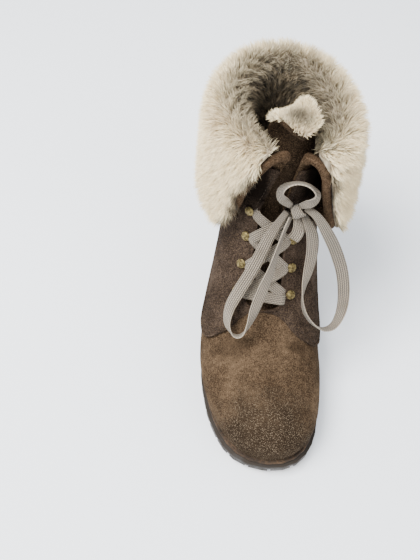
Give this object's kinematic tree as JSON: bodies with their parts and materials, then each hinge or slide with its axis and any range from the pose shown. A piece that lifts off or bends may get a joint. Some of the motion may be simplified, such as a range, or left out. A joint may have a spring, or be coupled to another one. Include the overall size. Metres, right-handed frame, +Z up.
{
  "type": "ankle boot",
  "caption": "Right high-heeled ankle boot: laced suede upper, fur lining turned down as a cuff, lugged rubber sole, stacked heel.",
  "frame": {"origin": "on the floor under the middle of the forefoot tread", "axes": "+Z up, the toe points along -Y, the inner side of the foot is +X"},
  "size_m": [0.1205, 0.2568, 0.2196],
  "materials": {
    "suede": "napped, matt",
    "fur": "deep curly pile",
    "rubber": "satin",
    "welt": "satin, stitched",
    "heel_leather": "stacked, satin",
    "heel_rubber": "matt",
    "lace": "flat braid",
    "brass": "antique",
    "insole": "matt"
  },
  "bodies": {
    "root": {"outsole": "rubber", "welt": "welt", "insole": "insole", "heel_stack": "heel_leather", "heel_top_piece": "heel_rubber", "upper": "suede", "quarter_medial": "suede", "quarter_lateral": "suede", "tongue": "suede", "cuff": "suede", "cuff_fur": "fur", "rivet_medial_1": "brass", "rivet_medial_2": "brass", "rivet_medial_3": "brass", "rivet_medial_4": "brass", "rivet_lateral_1": "brass", "rivet_lateral_2": "brass", "rivet_lateral_3": "brass", "rivet_lateral_4": "brass", "lace_bars": "lace", "lace_knot": "lace", "lace_loop_medial": "lace", "lace_loop_lateral": "lace", "lace_curl": "lace", "lace_end": "lace"}
  },
  "joints": []
}
